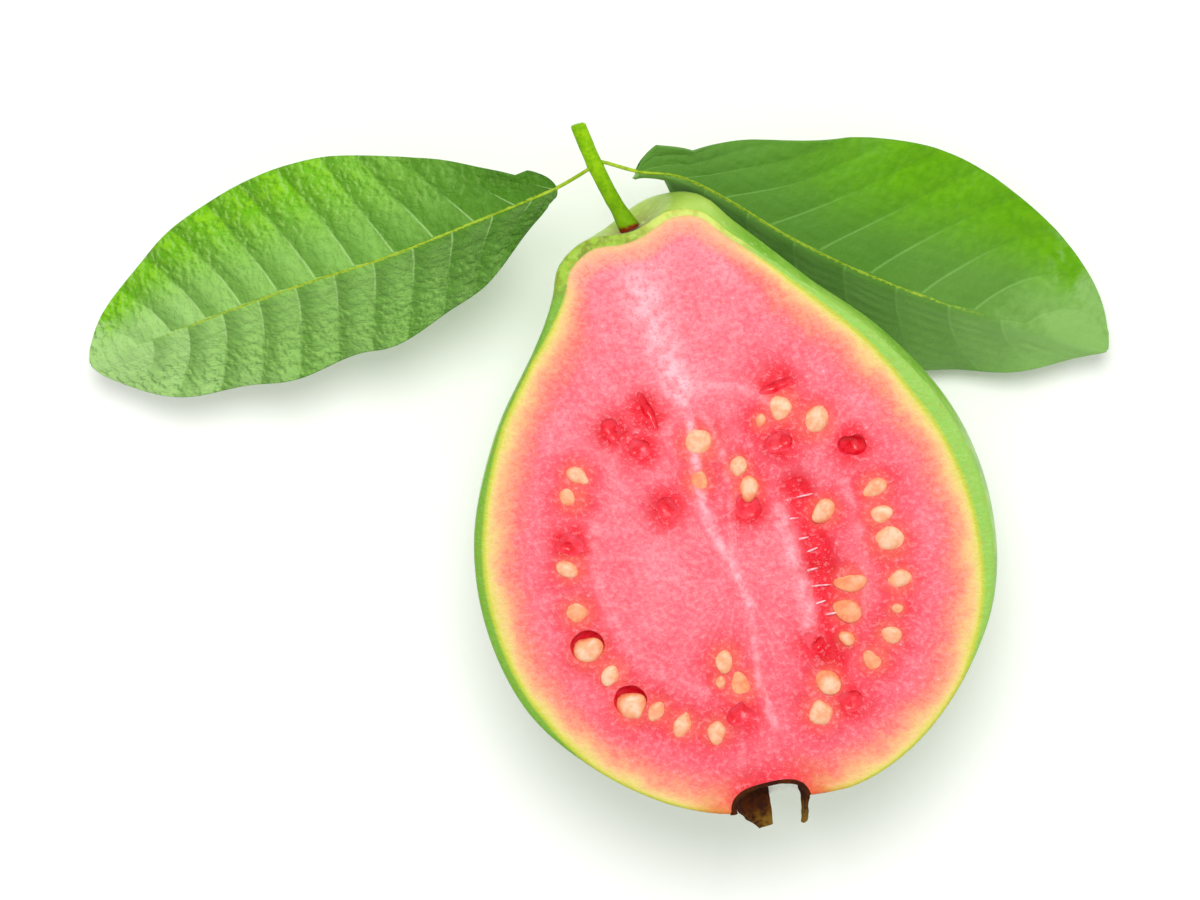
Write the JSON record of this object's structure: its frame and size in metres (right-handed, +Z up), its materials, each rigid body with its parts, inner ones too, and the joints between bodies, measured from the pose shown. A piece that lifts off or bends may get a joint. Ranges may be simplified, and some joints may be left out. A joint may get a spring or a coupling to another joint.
{
  "type": "guava half",
  "caption": "Half a pink guava lying on its back, cut face up, with its seeds, dried calyx, stem and two leaves.",
  "frame": {"origin": "on the small flat spot of skin that the half rests on, below the widest part of the cut face", "axes": "+Z up, out of the cut face; +Y along the fruit from the calyx to the stem; +X to the right for someone who looks down on the cut face with the stem away from them"},
  "size_m": [0.1486, 0.1129, 0.0404],
  "materials": {
    "fruit": "satin",
    "calyx": "matte",
    "stem": "satin",
    "leaf_right": "satin",
    "leaf_left": "satin"
  },
  "bodies": {
    "root": {"fruit_half": "fruit", "calyx": "calyx", "stem": "stem", "leaf_right": "leaf_right", "leaf_left": "leaf_left"}
  },
  "joints": []
}
